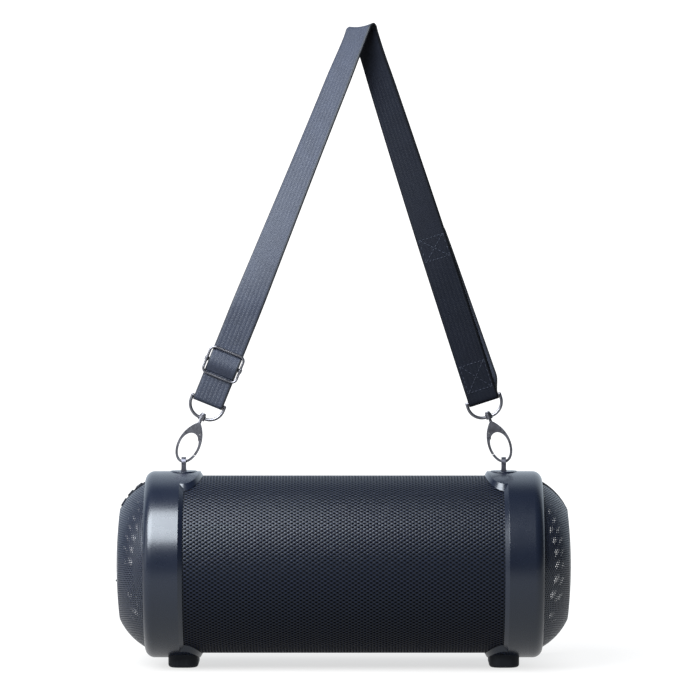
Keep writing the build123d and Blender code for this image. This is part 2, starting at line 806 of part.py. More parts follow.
# ---------------------------------------------------------------- electronics
chassis_top = axis_z - chassis_drop
tube_bore = tube_radius - tube_wall
chassis_half_width = sqrt(tube_bore**2 - (chassis_drop + chassis_thickness) ** 2) - fit_gap
with BuildPart() as chassis:
    with BuildSketch(Plane.XY.offset(chassis_top - chassis_thickness)):
        RectangleRounded(2 * chassis_half_length, 2 * chassis_half_width, 4)
        with GridLocations(2 * chassis_half_length - 30, 60, 2, 2):
            SlotOverall(22, 8, rotation=90, mode=Mode.SUBTRACT)
    extrude(amount=chassis_thickness)
save(chassis, "chassis")

with BuildPart() as battery_pack:
    for row in (-1, 1):
        with BuildSketch(Plane.YZ.offset(-cell_length)):
            with Locations((-24 + row * cell_radius, chassis_top + cell_radius)):
                Circle(cell_radius)
            with Locations((-24, chassis_top + cell_radius)):
                Rectangle(2 * cell_radius, 2 * cell_radius)
        extrude(amount=2 * cell_length)
save(battery_pack, "battery_pack")

standoff_height = 6.0
board_length, board_width = 110.0, 44.0
with BuildPart() as main_board:
    with BuildSketch(Plane.XY.offset(chassis_top + standoff_height)):
        with Locations((0, 24)):
            RectangleRounded(board_length, board_width, 2)
    extrude(amount=board_thickness)
    with BuildSketch(Plane.XY.offset(chassis_top)):
        with Locations((0, 24)):
            with GridLocations(board_length - 8, board_width - 8, 2, 2):
                Circle(2.5)
    extrude(amount=standoff_height)
    with BuildSketch(Plane.XY.offset(chassis_top + standoff_height + board_thickness)):
        with Locations((-20, 24)):
            Rectangle(24, 24)
        with Locations((24, 30)):
            Rectangle(14, 14)
    extrude(amount=3)
save(main_board, "main_board")


# ---------------------------------------------------------------- strap frame
def along(sign, lean):
    """Unit vector up a strand that leans towards the middle."""
    return Vector(-sign * sin(radians(lean)), 0, cos(radians(lean)))


def across(sign, lean):
    """Unit vector across a strand, pointing to +X."""
    return Vector(cos(radians(lean)), 0, sign * sin(radians(lean)))


seat_height = 0.8           # the hook's wire hangs this far above the middle of the eye


def hook_centre(side, sign):
    """Middle of the hook's oval: its lowest point hangs in the lug's eye."""
    lean = radians(hook_lean[side])
    reach = hypot(hook_half_width * sin(lean), hook_half_length * cos(lean))
    aside = hook_half_width**2 * sin(lean) / reach
    below = hook_half_length**2 * cos(lean) / reach
    eye = Vector(sign * lug_x, 0, eye_z + seat_height)
    inward = across(sign, hook_lean[side]) * (-sign)
    return eye - inward * aside + along(sign, hook_lean[side]) * below


web_offset = dring_wire + loop_gap + web_thickness / 2      # webbing to the D-ring bar's axis
fold_turn = radians(fold_angle)
fold_line = Vector(cos(fold_turn), -sin(fold_turn), 0)
fold_through = Vector(sin(fold_turn), cos(fold_turn), 0)
fold_middle = Vector(fold_x, 0, fold_z)
boss = {}
strand_lean = {}
bar = {}
strand_length = {}
for side, sign in ends:
    boss[side] = hook_centre(side, sign) + along(sign, hook_lean[side]) * swivel_height
    strand_top = fold_middle + fold_through * (sign * fold_radius)
    strand_lean[side] = degrees(atan2(abs(strand_top.X - boss[side].X), fold_z - boss[side].Z))
    bar[side] = boss[side] + along(sign, strand_lean[side]) * dring_depth
    strand_length[side] = (fold_z - bar[side].Z) / cos(radians(strand_lean[side]))


def strand_point(side, sign, height, offset=0.0, shift=0.0):
    """Point on a strand: height up it, offset to the back, shift towards +X."""
    lean = strand_lean[side]
    settle = max(height - flat_run, 0) / (strand_length[side] - flat_run)
    back = -web_offset + settle * (web_offset + sign * fold_radius * fold_through.Y)
    turn = strand_twist(side, height)
    normal = across(sign, lean) * sin(turn) + Vector(0, cos(turn), 0)
    width = across(sign, lean) * cos(turn) - Vector(0, sin(turn), 0)
    middle = bar[side] + along(sign, lean) * height + Vector(0, back, 0)
    return middle + normal * offset + width * shift


def strand_twist(side, height):
    """Twist of a strand, in radians: none on the flat run, then easing up to the fold."""
    share = min(max((height - flat_run) / (strand_length[side] - flat_run), 0), 1)
    return fold_turn * sin(share * radians(90))


def strand_plane(side, sign, height, offset=0.0, shift=0.0, up=1):
    """Plane square to a strand, local x across the webbing."""
    lean = strand_lean[side]
    turn = strand_twist(side, height)
    width = across(sign, lean) * cos(turn) - Vector(0, sin(turn), 0)
    return Plane(
        origin=strand_point(side, sign, height, offset, shift),
        x_dir=width,
        z_dir=along(sign, lean) * up,
    )


def flat_side_plane(side, sign):
    """Middle plane of a strand's flat run: local x up the strand, local y to the back."""
    return Plane(
        origin=bar[side], x_dir=along(sign, strand_lean[side]), z_dir=across(sign, strand_lean[side]) * -1
    )


# ---------------------------------------------------------------- webbing
bend_count = 5              # twisted panels of each strand


def twisted_heights(side):
    rise = strand_length[side] - flat_run
    return [flat_run + rise * k / bend_count for k in range(bend_count)]


with BuildPart() as strap_main:
    for height in twisted_heights("left"):
        with BuildSketch(strand_plane("left", -1, height)):
            Rectangle(web_width, web_thickness)
    for roll in (0, 45, 90, 135, 180):
        turn = radians(roll)
        middle = fold_middle - fold_through * (fold_radius * cos(turn))
        heading = Vector(0, 0, cos(turn)) + fold_through * sin(turn)
        raised = middle + Vector(0, 0, fold_radius * sin(turn))
        with BuildSketch(Plane(origin=raised, x_dir=fold_line, z_dir=heading)):
            Rectangle(web_width * fold_stretch, web_thickness)
    for height in reversed(twisted_heights("right")):
        with BuildSketch(strand_plane("right", 1, height, up=-1)):
            Rectangle(web_width, web_thickness)
    loft(ruled=True)
    for side, sign in ends:
        inner, outer = web_offset - web_thickness / 2, web_offset + web_thickness / 2
        with BuildSketch(flat_side_plane(side, sign)):
            with BuildLine():
                Polyline((0, -inner), (flat_run, -inner), (flat_run, -outer), (0, -outer))
                ThreePointArc((0, -outer), (-outer, 0), (0, outer))
                Line((0, outer), (0, inner))
                ThreePointArc((0, inner), (-inner, 0), (0, -inner))
            make_face()
        extrude(amount=web_width / 2, both=True)
save(strap_main, "strap_main")

with BuildPart() as strap_lap:
    lap_start = 20.0
    lap_offset = web_thickness + 1.5 * fit_gap
    with BuildSketch(strand_plane("right", 1, fit_gap / 2, 2 * web_offset)):
        Rectangle(web_width, web_thickness)
    for height in (lap_start, 40.0, flat_run, (flat_run + lap_length) / 2, lap_length):
        shift = lap_shift * (lap_length - height) / (lap_length - lap_start)
        with BuildSketch(strand_plane("right", 1, height, lap_offset, shift)):
            Rectangle(web_width, web_thickness)
    loft(ruled=True)
save(strap_lap, "strap_lap")

# The thin end passes up behind the strap and round the adjuster's bar, where it is sewn.
bar_back = -web_offset + web_thickness / 2 + loop_gap + return_thickness + loop_gap + buckle_wire
wrap_inner = buckle_wire + loop_gap
wrap_outer = wrap_inner + return_thickness
return_inner = web_offset - web_thickness / 2
sewn_end = 7.0
with BuildPart() as strap_return:
    with BuildSketch(flat_side_plane("left", -1)):
        with BuildLine():
            Polyline(
                (buckle_height, bar_back + wrap_inner),
                (fit_gap / 2, return_inner),
                (fit_gap / 2, return_inner + return_thickness),
                (buckle_height, bar_back + wrap_outer),
            )
            ThreePointArc(
                (buckle_height, bar_back + wrap_outer),
                (buckle_height + wrap_outer, bar_back),
                (buckle_height, bar_back - wrap_outer),
            )
            Polyline(
                (buckle_height, bar_back - wrap_outer),
                (buckle_height - sewn_end, bar_back - wrap_outer),
                (buckle_height - sewn_end, bar_back - wrap_inner),
                (buckle_height, bar_back - wrap_inner),
            )
            ThreePointArc(
                (buckle_height, bar_back - wrap_inner),
                (buckle_height + wrap_inner, bar_back),
                (buckle_height, bar_back + wrap_inner),
            )
        make_face()
    extrude(amount=web_width / 2, both=True)
save(strap_return, "strap_return")


# ---------------------------------------------------------------- D-rings
def front_plane(origin, sign, lean):
    """Upright plane facing the front: local x across to +X, local y up the lean."""
    return Plane(origin=origin, x_dir=across(sign, lean), z_dir=(0, -1, 0))


stem_gap = 0.08
dring_corner = 3.0          # straight side before the bow begins
for side, sign in ends:
    hook_axis = Plane(origin=boss[side], z_dir=along(sign, hook_lean[side]))
    ring_plane = front_plane(bar[side], sign, strand_lean[side])
    bows = []
    bow_drop = dring_depth - dring_corner
    bow_centre = (dring_half_width**2 - bow_drop**2) / (2 * dring_half_width)
    bow_radius = dring_half_width - bow_centre
    half_turn = (radians(180) - atan2(bow_drop, bow_centre)) / 2
    for k in (-1, 1):
        bow_belly = (
            k * (bow_centre + bow_radius * cos(half_turn)),
            -dring_corner - bow_radius * sin(half_turn),
        )
        with BuildLine(ring_plane) as bow_line:
            Line((k * dring_half_width, 0), (k * dring_half_width, -dring_corner))
            ThreePointArc((k * dring_half_width, -dring_corner), bow_belly, (0, -dring_depth))
        bows.append(bow_line.line)
    with BuildPart() as d_ring:
        for bow in bows:
            with BuildSketch(Plane(origin=bow @ 0, z_dir=bow % 0)):
                Circle(dring_wire)
            sweep(path=bow)
            with Locations(bow @ 0):
                Sphere(dring_wire)
        with BuildSketch(Plane(origin=bar[side], z_dir=across(sign, strand_lean[side]))):
            Circle(dring_wire)
        extrude(amount=dring_half_width, both=True)
        with BuildSketch(hook_axis):
            Circle(boss_radius)
        extrude(amount=boss_length / 2, both=True)
        with BuildSketch(hook_axis):
            Circle(stem_radius + stem_gap)
        extrude(amount=boss_length, both=True, mode=Mode.SUBTRACT)
    save(d_ring, f"{side}_d_ring")


# ---------------------------------------------------------------- snap hooks
outer_across = hook_half_width + hook_wire / 2
outer_below = hook_half_length + hook_wire / 2
inner_across = hook_half_width - hook_wire / 2
inner_below = hook_half_length - hook_wire / 2
gate_gap = 0.15
gate_tip_gap = 0.5      # room for the gate's tip to swing past the hook's end


def hook_outline():
    """Pear outline of the hook, and its oval opening."""
    with BuildSketch() as outline:
        with BuildLine():
            EllipticalCenterArc((0, 0), outer_across, outer_below, 180, arc_size=180)
            TangentArc((outer_across, 0), (hook_tip_half_width, hook_tip - 1), tangent=(0, 1))
            ThreePointArc(
                (hook_tip_half_width, hook_tip - 1), (0, hook_tip), (-hook_tip_half_width, hook_tip - 1)
            )
            TangentArc((-outer_across, 0), (-hook_tip_half_width, hook_tip - 1), tangent=(0, 1))
        make_face()
        with BuildLine():
            EllipticalCenterArc((0, 0), inner_across, inner_below, 180, arc_size=180)
            EllipticalCenterArc((0, 0), inner_across, hook_opening_top, 0, arc_size=180)
        make_face(mode=Mode.SUBTRACT)
    return outline.sketch


for side, sign in ends:
    inward = -sign
    hook_plane = front_plane(hook_centre(side, sign), sign, hook_lean[side])
    pivot = (inward * gate_pivot[0], gate_pivot[1])
    gap_middle = (inward * (outer_across + 0.4 * inner_across) / 2, (gate_tip + crown_start) / 2)
    gap_size = (outer_across - 0.4 * inner_across + 1, crown_start - gate_tip)
    stem_end = swivel_height + boss_length / 2 + fit_gap
    with BuildPart() as hook:
        with BuildSketch(hook_plane):
            add(hook_outline())
            with Locations(gap_middle):
                Rectangle(*gap_size, mode=Mode.SUBTRACT)
        extrude(amount=hook_plate / 2, both=True)
        with BuildSketch(hook_plane):
            add(hook_outline())
            with Locations((0, crown_start - hook_tip)):
                Rectangle(4 * outer_across, 2 * hook_tip, mode=Mode.SUBTRACT)
        extrude(amount=crown_plate / 2, both=True)
        with BuildSketch(hook_plane):
            with Locations(pivot):
                Circle(gate_hub_radius + 2 * gate_gap)
            with Locations((inward * (gate_pivot[0] + 0.6), (crown_start + gate_pivot[1]) / 2)):
                Rectangle(2 * gate_hub_radius + 2.4, gate_pivot[1] - crown_start)
        extrude(amount=gate_hub_thickness / 2 + gate_gap, both=True, mode=Mode.SUBTRACT)
        with BuildSketch(hook_plane):
            with Locations(pivot):
                Circle(gate_pin_radius + fit_gap / 4)
        extrude(amount=crown_plate, both=True, mode=Mode.SUBTRACT)
        stem_plane = Plane(origin=hook_plane.origin, z_dir=along(sign, hook_lean[side]))
        with BuildSketch(stem_plane.offset(hook_tip - 1.5)):
            Circle(stem_radius)
        extrude(amount=stem_end - hook_tip + 1.5)
        with BuildSketch(stem_plane.offset(stem_end)):
            Circle(rivet_radius)
        extrude(amount=rivet_height)
        rivet_top = hook.faces().sort_by(Axis(stem_plane.origin, stem_plane.z_dir))[-1]
        fillet(rivet_top.edges(), radius=0.9)
    save(hook, f"{side}_hook")

    with BuildPart() as gate:
        arm_size = (gap_size[0], gap_size[1] - gate_gap - gate_tip_gap)
        arm_middle = (gap_middle[0], gap_middle[1] + (gate_tip_gap - gate_gap) / 2)
        with BuildSketch(hook_plane):
            add(hook_outline())
            with Locations(arm_middle):
                Rectangle(*arm_size, mode=Mode.INTERSECT)
        extrude(amount=hook_plate / 2, both=True)
        with BuildSketch(hook_plane):
            with Locations(pivot):
                Circle(gate_hub_radius)
            with BuildLine():
                Polyline(
                    (inward * 5.0, crown_start - 2),
                    (inward * 7.4, crown_start - 2),
                    (inward * (gate_pivot[0] + gate_hub_radius - 0.1), gate_pivot[1]),
                    (inward * (gate_pivot[0] - gate_hub_radius + 0.6), gate_pivot[1] - 1),
                    close=True,
                )
            make_face()
        extrude(amount=gate_hub_thickness / 2, both=True)
        with BuildSketch(hook_plane):
            with Locations(pivot):
                Circle(gate_pin_radius + fit_gap / 2)
        extrude(amount=crown_plate, both=True, mode=Mode.SUBTRACT)
    save(gate, f"{side}_gate")

    with BuildPart() as gate_pin:
        with BuildSketch(hook_plane):
            with Locations(pivot):
                Circle(gate_pin_radius)
        extrude(amount=crown_plate / 2, both=True)
    save(gate_pin, f"{side}_gate_pin")


# ---------------------------------------------------------------- strap adjuster
frame_front = -web_offset - web_thickness / 2 - loop_gap - buckle_wire
buckle_middle = bar["left"] + along(-1, strand_lean["left"]) * buckle_height
frame_plane = front_plane(buckle_middle + Vector(0, frame_front, 0), -1, strand_lean["left"])
with BuildSketch(frame_plane) as frame_middle:
    RectangleRounded(2 * buckle_half_width, 2 * buckle_half_length, buckle_corner)
frame_path = frame_middle.sketch.face().outer_wire()
with BuildPart() as buckle_frame:
    with BuildSketch(Plane(origin=frame_path @ 0, z_dir=frame_path % 0)):
        Circle(buckle_wire)
    sweep(path=frame_path)
save(buckle_frame, "buckle_frame")

eyelet_radius = 1.6
eyelet_length = 3.4
arm_width = 1.6
across_plane = Plane(
    origin=buckle_middle + Vector(0, bar_back, 0), z_dir=across(-1, strand_lean["left"])
)
with BuildPart() as buckle_bar:
    with BuildSketch(across_plane):
        Circle(buckle_wire)
    extrude(amount=buckle_half_width, both=True)
    for k in (-1, 1):
        bar_end = buckle_middle + across(-1, strand_lean["left"]) * (k * buckle_half_width)
        eyelet_plane = Plane(
            origin=bar_end + Vector(0, frame_front, 0),
            x_dir=(0, 1, 0),
            z_dir=along(-1, strand_lean["left"]),
        )
        with BuildSketch(eyelet_plane):
            Circle(eyelet_radius)
        extrude(amount=eyelet_length / 2, both=True)
        arm_length = bar_back + 1.2 * buckle_wire - frame_front
        with BuildSketch(eyelet_plane):
            with Locations((arm_length / 2, 0)):
                Rectangle(arm_length, arm_width)
        extrude(amount=1.2 * buckle_wire, both=True)
        with BuildSketch(eyelet_plane):
            Circle(buckle_wire + fit_gap / 4)
        extrude(amount=eyelet_length, both=True, mode=Mode.SUBTRACT)
save(buckle_bar, "buckle_bar")
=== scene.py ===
import json
from math import acos, asin, atan2, ceil, cos, hypot, pi, radians, sin, sqrt

import bpy
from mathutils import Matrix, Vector


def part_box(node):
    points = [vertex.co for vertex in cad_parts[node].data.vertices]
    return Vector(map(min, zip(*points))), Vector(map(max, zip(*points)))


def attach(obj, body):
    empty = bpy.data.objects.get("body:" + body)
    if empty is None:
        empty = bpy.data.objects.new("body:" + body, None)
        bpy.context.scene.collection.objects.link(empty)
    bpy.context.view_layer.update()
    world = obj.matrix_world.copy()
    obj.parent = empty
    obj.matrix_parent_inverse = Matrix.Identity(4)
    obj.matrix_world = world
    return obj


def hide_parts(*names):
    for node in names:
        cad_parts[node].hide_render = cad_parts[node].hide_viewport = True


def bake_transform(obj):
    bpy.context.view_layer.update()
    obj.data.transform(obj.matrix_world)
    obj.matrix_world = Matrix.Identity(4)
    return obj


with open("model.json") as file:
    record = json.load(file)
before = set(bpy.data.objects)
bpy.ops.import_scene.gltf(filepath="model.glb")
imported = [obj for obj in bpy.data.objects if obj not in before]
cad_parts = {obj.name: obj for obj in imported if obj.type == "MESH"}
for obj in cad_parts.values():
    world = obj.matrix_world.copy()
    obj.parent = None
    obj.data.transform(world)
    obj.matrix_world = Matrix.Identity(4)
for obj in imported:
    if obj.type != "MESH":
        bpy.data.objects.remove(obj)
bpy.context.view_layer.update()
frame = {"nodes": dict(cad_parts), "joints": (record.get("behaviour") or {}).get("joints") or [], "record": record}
nodes = frame["nodes"]
bodies = frame["record"]["behaviour"]["bodies"]
bodies_of = {node: body for body, members in bodies.items() for node in members}
joints = {joint["name"]: joint for joint in frame["joints"]}

# ------------------------------------------------------------------ sizes, from the frame
tube_low, tube_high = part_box("barrel_tube")
cloth_low, cloth_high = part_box("cloth_sleeve")
dome_low, dome_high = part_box("right_dome_grille")
axis_z = (tube_low[2] + tube_high[2]) / 2
cloth_radius = (cloth_high[1] - cloth_low[1]) / 2
ring_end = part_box("right_end_ring")[1][0]
dome_reach = dome_high[0]
skirt_radius = (dome_high[1] - dome_low[1]) / 2
up = Vector((0, 0, 1))
back = Vector((0, 1, 0))

# ------------------------------------------------------------------ sizes that no box gives
dome_corner_radius = 0.0445     # where the cheek meets the end face
cheek_radius = 0.0496           # bulge of the dome's cheek
face_radius = 0.355             # bulge of its end face
panel_half_angle = radians(12.0)
port_azimuth = radians(110.0)   # the port panel, from the top towards the back
web_width = 0.025
web_thickness = 0.0018
loop_gap = 0.0001               # webbing to the bar it is looped round
dring_wire = 0.00125
dring_depth = 0.0145            # hook's swivel to the D-ring's bar
fold_radius = 0.004
fold_turn = radians(42.0)       # the fold line, turned from the strap's plane
fold_x, fold_z = 0.014, 0.507
lap_length = 0.140
lap_shift = 0.0042              # how far the second layer stands out at the D-ring
buckle_wire = 0.0010
return_thickness = 0.0012       # the strap's thin end


# ------------------------------------------------------------------ material helpers
blue_black = (0.85, 0.925, 1.0, 1)      # tint of every dark plastic's and fabric's gloss
map_range_sockets = ("From Min", "From Max", "To Min", "To Max")


class Nodes:
    """A node tree, with short calls for the nodes that this scene uses."""

    def __init__(self, tree):
        self.tree = tree

    def link(self, source, target):
        self.tree.links.new(source, target)

    def add(self, kind, **settings):
        node = self.tree.nodes.new(kind)
        for key, value in settings.items():
            setattr(node, key, value)
        return node

    def feed(self, socket, value):
        if isinstance(value, bpy.types.NodeSocket):
            self.link(value, socket)
        else:
            socket.default_value = value

    def math(self, operation, a, b=0.0, clamp=False):
        node = self.add("ShaderNodeMath", operation=operation, use_clamp=clamp)
        self.feed(node.inputs[0], a)
        self.feed(node.inputs[1], b)
        return node.outputs[0]

    def noise(self, scale, detail=3.0, roughness=0.55, vector=None):
        node = self.add("ShaderNodeTexNoise")
        node.inputs["Scale"].default_value = scale
        node.inputs["Detail"].default_value = detail
        node.inputs["Roughness"].default_value = roughness
        self.feed(node.inputs["Vector"], vector or self.position())
        return node.outputs["Fac"]

    def position(self):
        return self.add("ShaderNodeTexCoord").outputs["Object"]

    def stretched(self, vector, scale):
        node = self.add("ShaderNodeMapping")
        self.feed(node.inputs["Vector"], vector)
        node.inputs["Scale"].default_value = scale
        return node.outputs["Vector"]

    def split(self, vector):
        node = self.add("ShaderNodeSeparateXYZ")
        self.feed(node.inputs[0], vector)
        return node.outputs

    def between(self, value, low, high, out_low=0.0, out_high=1.0, smooth=False):
        node = self.add("ShaderNodeMapRange")
        node.interpolation_type = "SMOOTHSTEP" if smooth else "LINEAR"
        self.feed(node.inputs["Value"], value)
        for socket, number in zip(map_range_sockets, (low, high, out_low, out_high)):
            node.inputs[socket].default_value = number
        return node.outputs["Result"]

    def mix(self, factor, first, second, blend="MIX"):
        node = self.add("ShaderNodeMix", data_type="RGBA", blend_type=blend)
        self.feed(node.inputs[0], factor)
        self.feed(node.inputs[6], first)
        self.feed(node.inputs[7], second)
        return node.outputs[2]

    def bump(self, height, distance, strength, normal=None):
        node = self.add("ShaderNodeBump")
        node.inputs["Distance"].default_value = distance
        node.inputs["Strength"].default_value = strength
        self.feed(node.inputs["Height"], height)
        if normal:
            self.feed(node.inputs["Normal"], normal)
        return node.outputs["Normal"]

    def soft_edges(self, radius):
        node = self.add("ShaderNodeBevel", samples=4)
        node.inputs["Radius"].default_value = radius
        return node.outputs["Normal"]


class Material(Nodes):
    """A new material and its shader."""

    def __init__(self, name):
        self.material = bpy.data.materials.new(name)
        self.material.use_nodes = True
        super().__init__(self.material.node_tree)
        self.shader = self.tree.nodes["Principled BSDF"]

    def finish(self, color, roughness, normal=None, metallic=0.0, specular=0.5):
        if not metallic:
            self.shader.inputs["Specular Tint"].default_value = blue_black
        self.feed(self.shader.inputs["Base Color"], color)
        self.feed(self.shader.inputs["Roughness"], roughness)
        self.feed(self.shader.inputs["Metallic"], metallic)
        self.feed(self.shader.inputs["Specular IOR Level"], specular)
        if normal:
            self.link(normal, self.shader.inputs["Normal"])
        return self.material


def shade(color, factor):
    return tuple(channel * factor for channel in color[:3]) + (1.0,)


# ------------------------------------------------------------------ materials
plated_edge = 0.00025       # rounding of a metal piece's edges


def moulded(name, color, roughness, grain=2600.0, depth=0.00002, edge=0.0004, specular=0.5):
    """Moulded plastic or rubber: fine spark grain, a faint mottle and soft edges."""
    n = Material(name)
    mottle = n.noise(35.0, 4.0)
    tint = n.mix(n.between(mottle, 0.3, 0.7), shade(color, 0.94), shade(color, 1.06))
    gloss = n.between(n.noise(90.0, 5.0), 0.3, 0.7, roughness - 0.012, roughness + 0.015)
    grained = n.bump(n.noise(grain, 2.0), depth, 0.35, n.soft_edges(edge))
    return n.finish(tint, gloss, grained, specular=specular)


def metal(name, color, roughness, scratches=0.25, stain=0.12):
    """Plated metal: streaked polish, small scratches and a slightly uneven plate."""
    n = Material(name)
    streak = n.noise(900.0, 4.0, 0.7, n.stretched(n.position(), (1.0, 1.0, 0.12)))
    plate = n.noise(160.0, 3.0)
    tint = n.mix(n.between(plate, 0.35, 0.7), shade(color, 1.0 - stain), shade(color, 1.0 + stain))
    gloss = n.between(streak, 0.25, 0.75, max(roughness - 0.06, 0.03), roughness + 0.1)
    normal = n.bump(streak, 0.00003, scratches, n.soft_edges(plated_edge))
    return n.finish(tint, gloss, normal, metallic=1.0)


hole_pitch = 0.0048         # dark openings of the knit, along the barrel
row_pitch = 0.0016          # between rows, round the barrel
cloth_rows = 2 * round(pi * cloth_radius / row_pitch)
twist_along = 9000.0        # the thread's twist, in radians to a metre along the barrel
twist_around = 900.0        # and to a radian round it


def barrel_cloth(name, color):
    """Diamond knit in staggered rows, fine twist in the thread, with a painted highlight on the crossings and
    painted shade in the openings.
    """
    n = Material(name)
    x, y, z = n.split(n.position())
    turn = n.math("ARCTAN2", y, n.math("SUBTRACT", z, axis_z))
    along = n.math("COSINE", n.math("MULTIPLY", x, 2 * pi / hole_pitch))
    around = n.math("COSINE", n.math("MULTIPLY", turn, cloth_rows / 2))
    lattice = n.math("MULTIPLY", along, around)
    opening = n.between(lattice, -0.05, 0.55, smooth=True)
    # painted highlight: the raised crossings of the thread are coloured much lighter
    crossing_highlight = n.between(lattice, -0.95, -0.2, 1.0, 0.0, smooth=True)
    wander = n.between(n.noise(420.0, 3.0), 0.3, 0.7, 0.75, 1.25)
    thread = n.mix(crossing_highlight, shade(color, 0.7), shade(color, 2.6))
    # painted shade: the openings of the knit are coloured nearly black
    tint = n.mix(0.6, n.mix(opening, thread, shade(color, 0.1)), wander, "MULTIPLY")
    slant = n.math("ADD", n.math("MULTIPLY", x, twist_along), n.math("MULTIPLY", turn, twist_around))
    twist = n.math("SINE", slant)
    relief = n.math("ADD", n.math("MULTIPLY", lattice, -1.0), n.math("MULTIPLY", twist, 0.12))
    normal = n.bump(relief, 0.00022, 0.6)
    underside_gloss_shade = n.between(z, cloth_low[2], axis_z, 0.05, 0.36)        # gloss fades towards the bottom: painted shade on the underside
    gloss = n.math("MULTIPLY", underside_gloss_shade, n.between(opening, 0, 1, 1.0, 0.15))
    return n.finish(tint, n.between(opening, 0, 1, 0.36, 0.8), normal, specular=gloss)


face_shift = 0.1            # UV offset that marks the webbing's inner face
inner_face_painted_shade = 0.28     # painted shade: the inner face is coloured darker and given less gloss
right_edge_shade_widening = 0.0008        # the selvedge, with its painted shade, reaches this much further in on the right
web_chevron = 0.0016        # width of one column of the herringbone
web_twill = 0.0013          # one rib of the twill
selvedge_range = (0.0114, 0.0119)       # the bound edge and its painted shade begin, from the webbing's middle


def webbing_cloth(name, color):
    """Tight twill webbing: UV runs in metres, across and along the band."""
    n = Material(name)
    mapped, v, _ = n.split(n.add("ShaderNodeTexCoord").outputs["UV"])
    inner = n.math("GREATER_THAN", mapped, face_shift / 2)
    u = n.math("SUBTRACT", mapped, n.math("MULTIPLY", inner, face_shift))
    chevron = n.math("PINGPONG", u, web_chevron)
    twill = n.math("SINE", n.math("MULTIPLY", n.math("ADD", chevron, v), 2 * pi / web_twill))
    column = n.math("COSINE", n.math("MULTIPLY", u, 2 * pi / web_chevron))
    edge = n.math("MAXIMUM", n.math("ADD", u, right_edge_shade_widening), n.math("MULTIPLY", u, -1.0))
    selvedge = n.between(edge, *selvedge_range, smooth=True)
    weave = n.math("ADD", n.math("MULTIPLY", twill, 0.7), n.math("MULTIPLY", column, 0.1))
    weave = n.math("MULTIPLY", weave, n.math("SUBTRACT", 1.0, selvedge))
    fuzz = n.noise(2400.0, 3.0)
    patch = n.noise(60.0, 3.0)
    bright = n.between(weave, -1.0, 1.0, 0.78, 1.18)
    bright = n.math("MULTIPLY", bright, n.between(patch, 0.3, 0.7, 0.9, 1.12))
    # painted shade: the inner face, which is the right strand's front, is coloured darker
    bright = n.math("MULTIPLY", bright, n.between(inner, 0, 1, 1.0, inner_face_painted_shade))
    # painted shade: the selvedges are coloured much darker, for an edge turned away from the light
    bright = n.math("MULTIPLY", bright, n.between(selvedge, 0, 1, 1.0, 0.22))
    tint = n.mix(1.0, color, bright, "MULTIPLY")
    normal = n.bump(n.math("ADD", weave, n.math("MULTIPLY", fuzz, 0.8)), 0.00012, 0.6)
    # painted shade: the inner face also gets less gloss
    gloss = n.between(inner, 0, 1, 0.48, 0.1)
    return n.finish(tint, n.between(fuzz, 0.3, 0.7, 0.46, 0.66), normal, specular=gloss)


def circuit(name, color):
    """Solder mask over copper tracks."""
    n = Material(name)
    brick = n.add("ShaderNodeTexBrick")
    brick.inputs["Scale"].default_value = 90.0
    brick.inputs["Color1"].default_value = color
    brick.inputs["Color2"].default_value = shade(color, 0.8)
    brick.inputs["Mortar"].default_value = shade(color, 1.9)
    n.link(n.position(), brick.inputs["Vector"])
    return n.finish(brick.outputs["Color"], n.between(n.noise(300.0), 0.3, 0.7, 0.25, 0.4))


slot_materials = {
    "moulding": moulded("ring_moulding", (0.004, 0.0065, 0.0155, 1), 0.27, depth=0.000008, specular=0.6),
    "panel_plastic": moulded("panel_moulding", (0.004, 0.005, 0.009, 1), 0.85, grain=1800.0, specular=0.15),
    "cloth": barrel_cloth("diamond_knit", (0.0022, 0.0040, 0.0112, 1)),
    "grille": moulded(
        "grille_powder_coat", (0.009, 0.0125, 0.026, 1), 0.34, grain=3400.0, edge=0.0001, specular=0.8
    ),
    "rubber": moulded(
        "foot_rubber", (0.0045, 0.005, 0.008, 1), 0.62, grain=1400.0, depth=0.00007, specular=0.3
    ),
    "key_rubber": moulded("key_rubber", (0.008, 0.0095, 0.014, 1), 0.8, grain=1500.0, specular=0.2),
    "lug_metal": metal("dark_lug_plate", (0.095, 0.10, 0.125, 1), 0.42),
    "hook_metal": metal("gunmetal_plate", (0.145, 0.15, 0.175, 1), 0.40, scratches=0.5, stain=0.3),
    "ring_metal": metal("nickel_plate", (0.17, 0.175, 0.20, 1), 0.30),
    "webbing": webbing_cloth("navy_webbing", (0.0185, 0.0235, 0.041, 1)),
    "steel": metal("zinc_plate", (0.42, 0.42, 0.43, 1), 0.3),
    "inner_plastic": moulded("inner_moulding", (0.012, 0.012, 0.014, 1), 0.55),
    "gloss_trim": moulded("gloss_trim", (0.012, 0.0125, 0.015, 1), 0.08, grain=300.0, depth=0.00001),
    "surround": moulded("roll_rubber", (0.009, 0.009, 0.010, 1), 0.5),
    "cone": moulded("pressed_diaphragm", (0.010, 0.0105, 0.012, 1), 0.42, grain=900.0),
    "ferrite": metal("magnet_plate", (0.09, 0.09, 0.095, 1), 0.5),
    "board": circuit("circuit_board", (0.006, 0.045, 0.018, 1)),
    "cell_wrap": moulded("cell_wrap", (0.01, 0.05, 0.14, 1), 0.25, grain=500.0),
    "light_pipe": moulded("light_guides", (0.30, 0.32, 0.35, 1), 0.3, grain=800.0),
}
node_slots = {part["node"]: part["material_slot"] for part in frame["record"]["subparts"]}
for node_name, node_object in nodes.items():
    for material_slot in node_object.material_slots:
        material_slot.link = "OBJECT"
        material_slot.material = slot_materials[node_slots[node_name]]


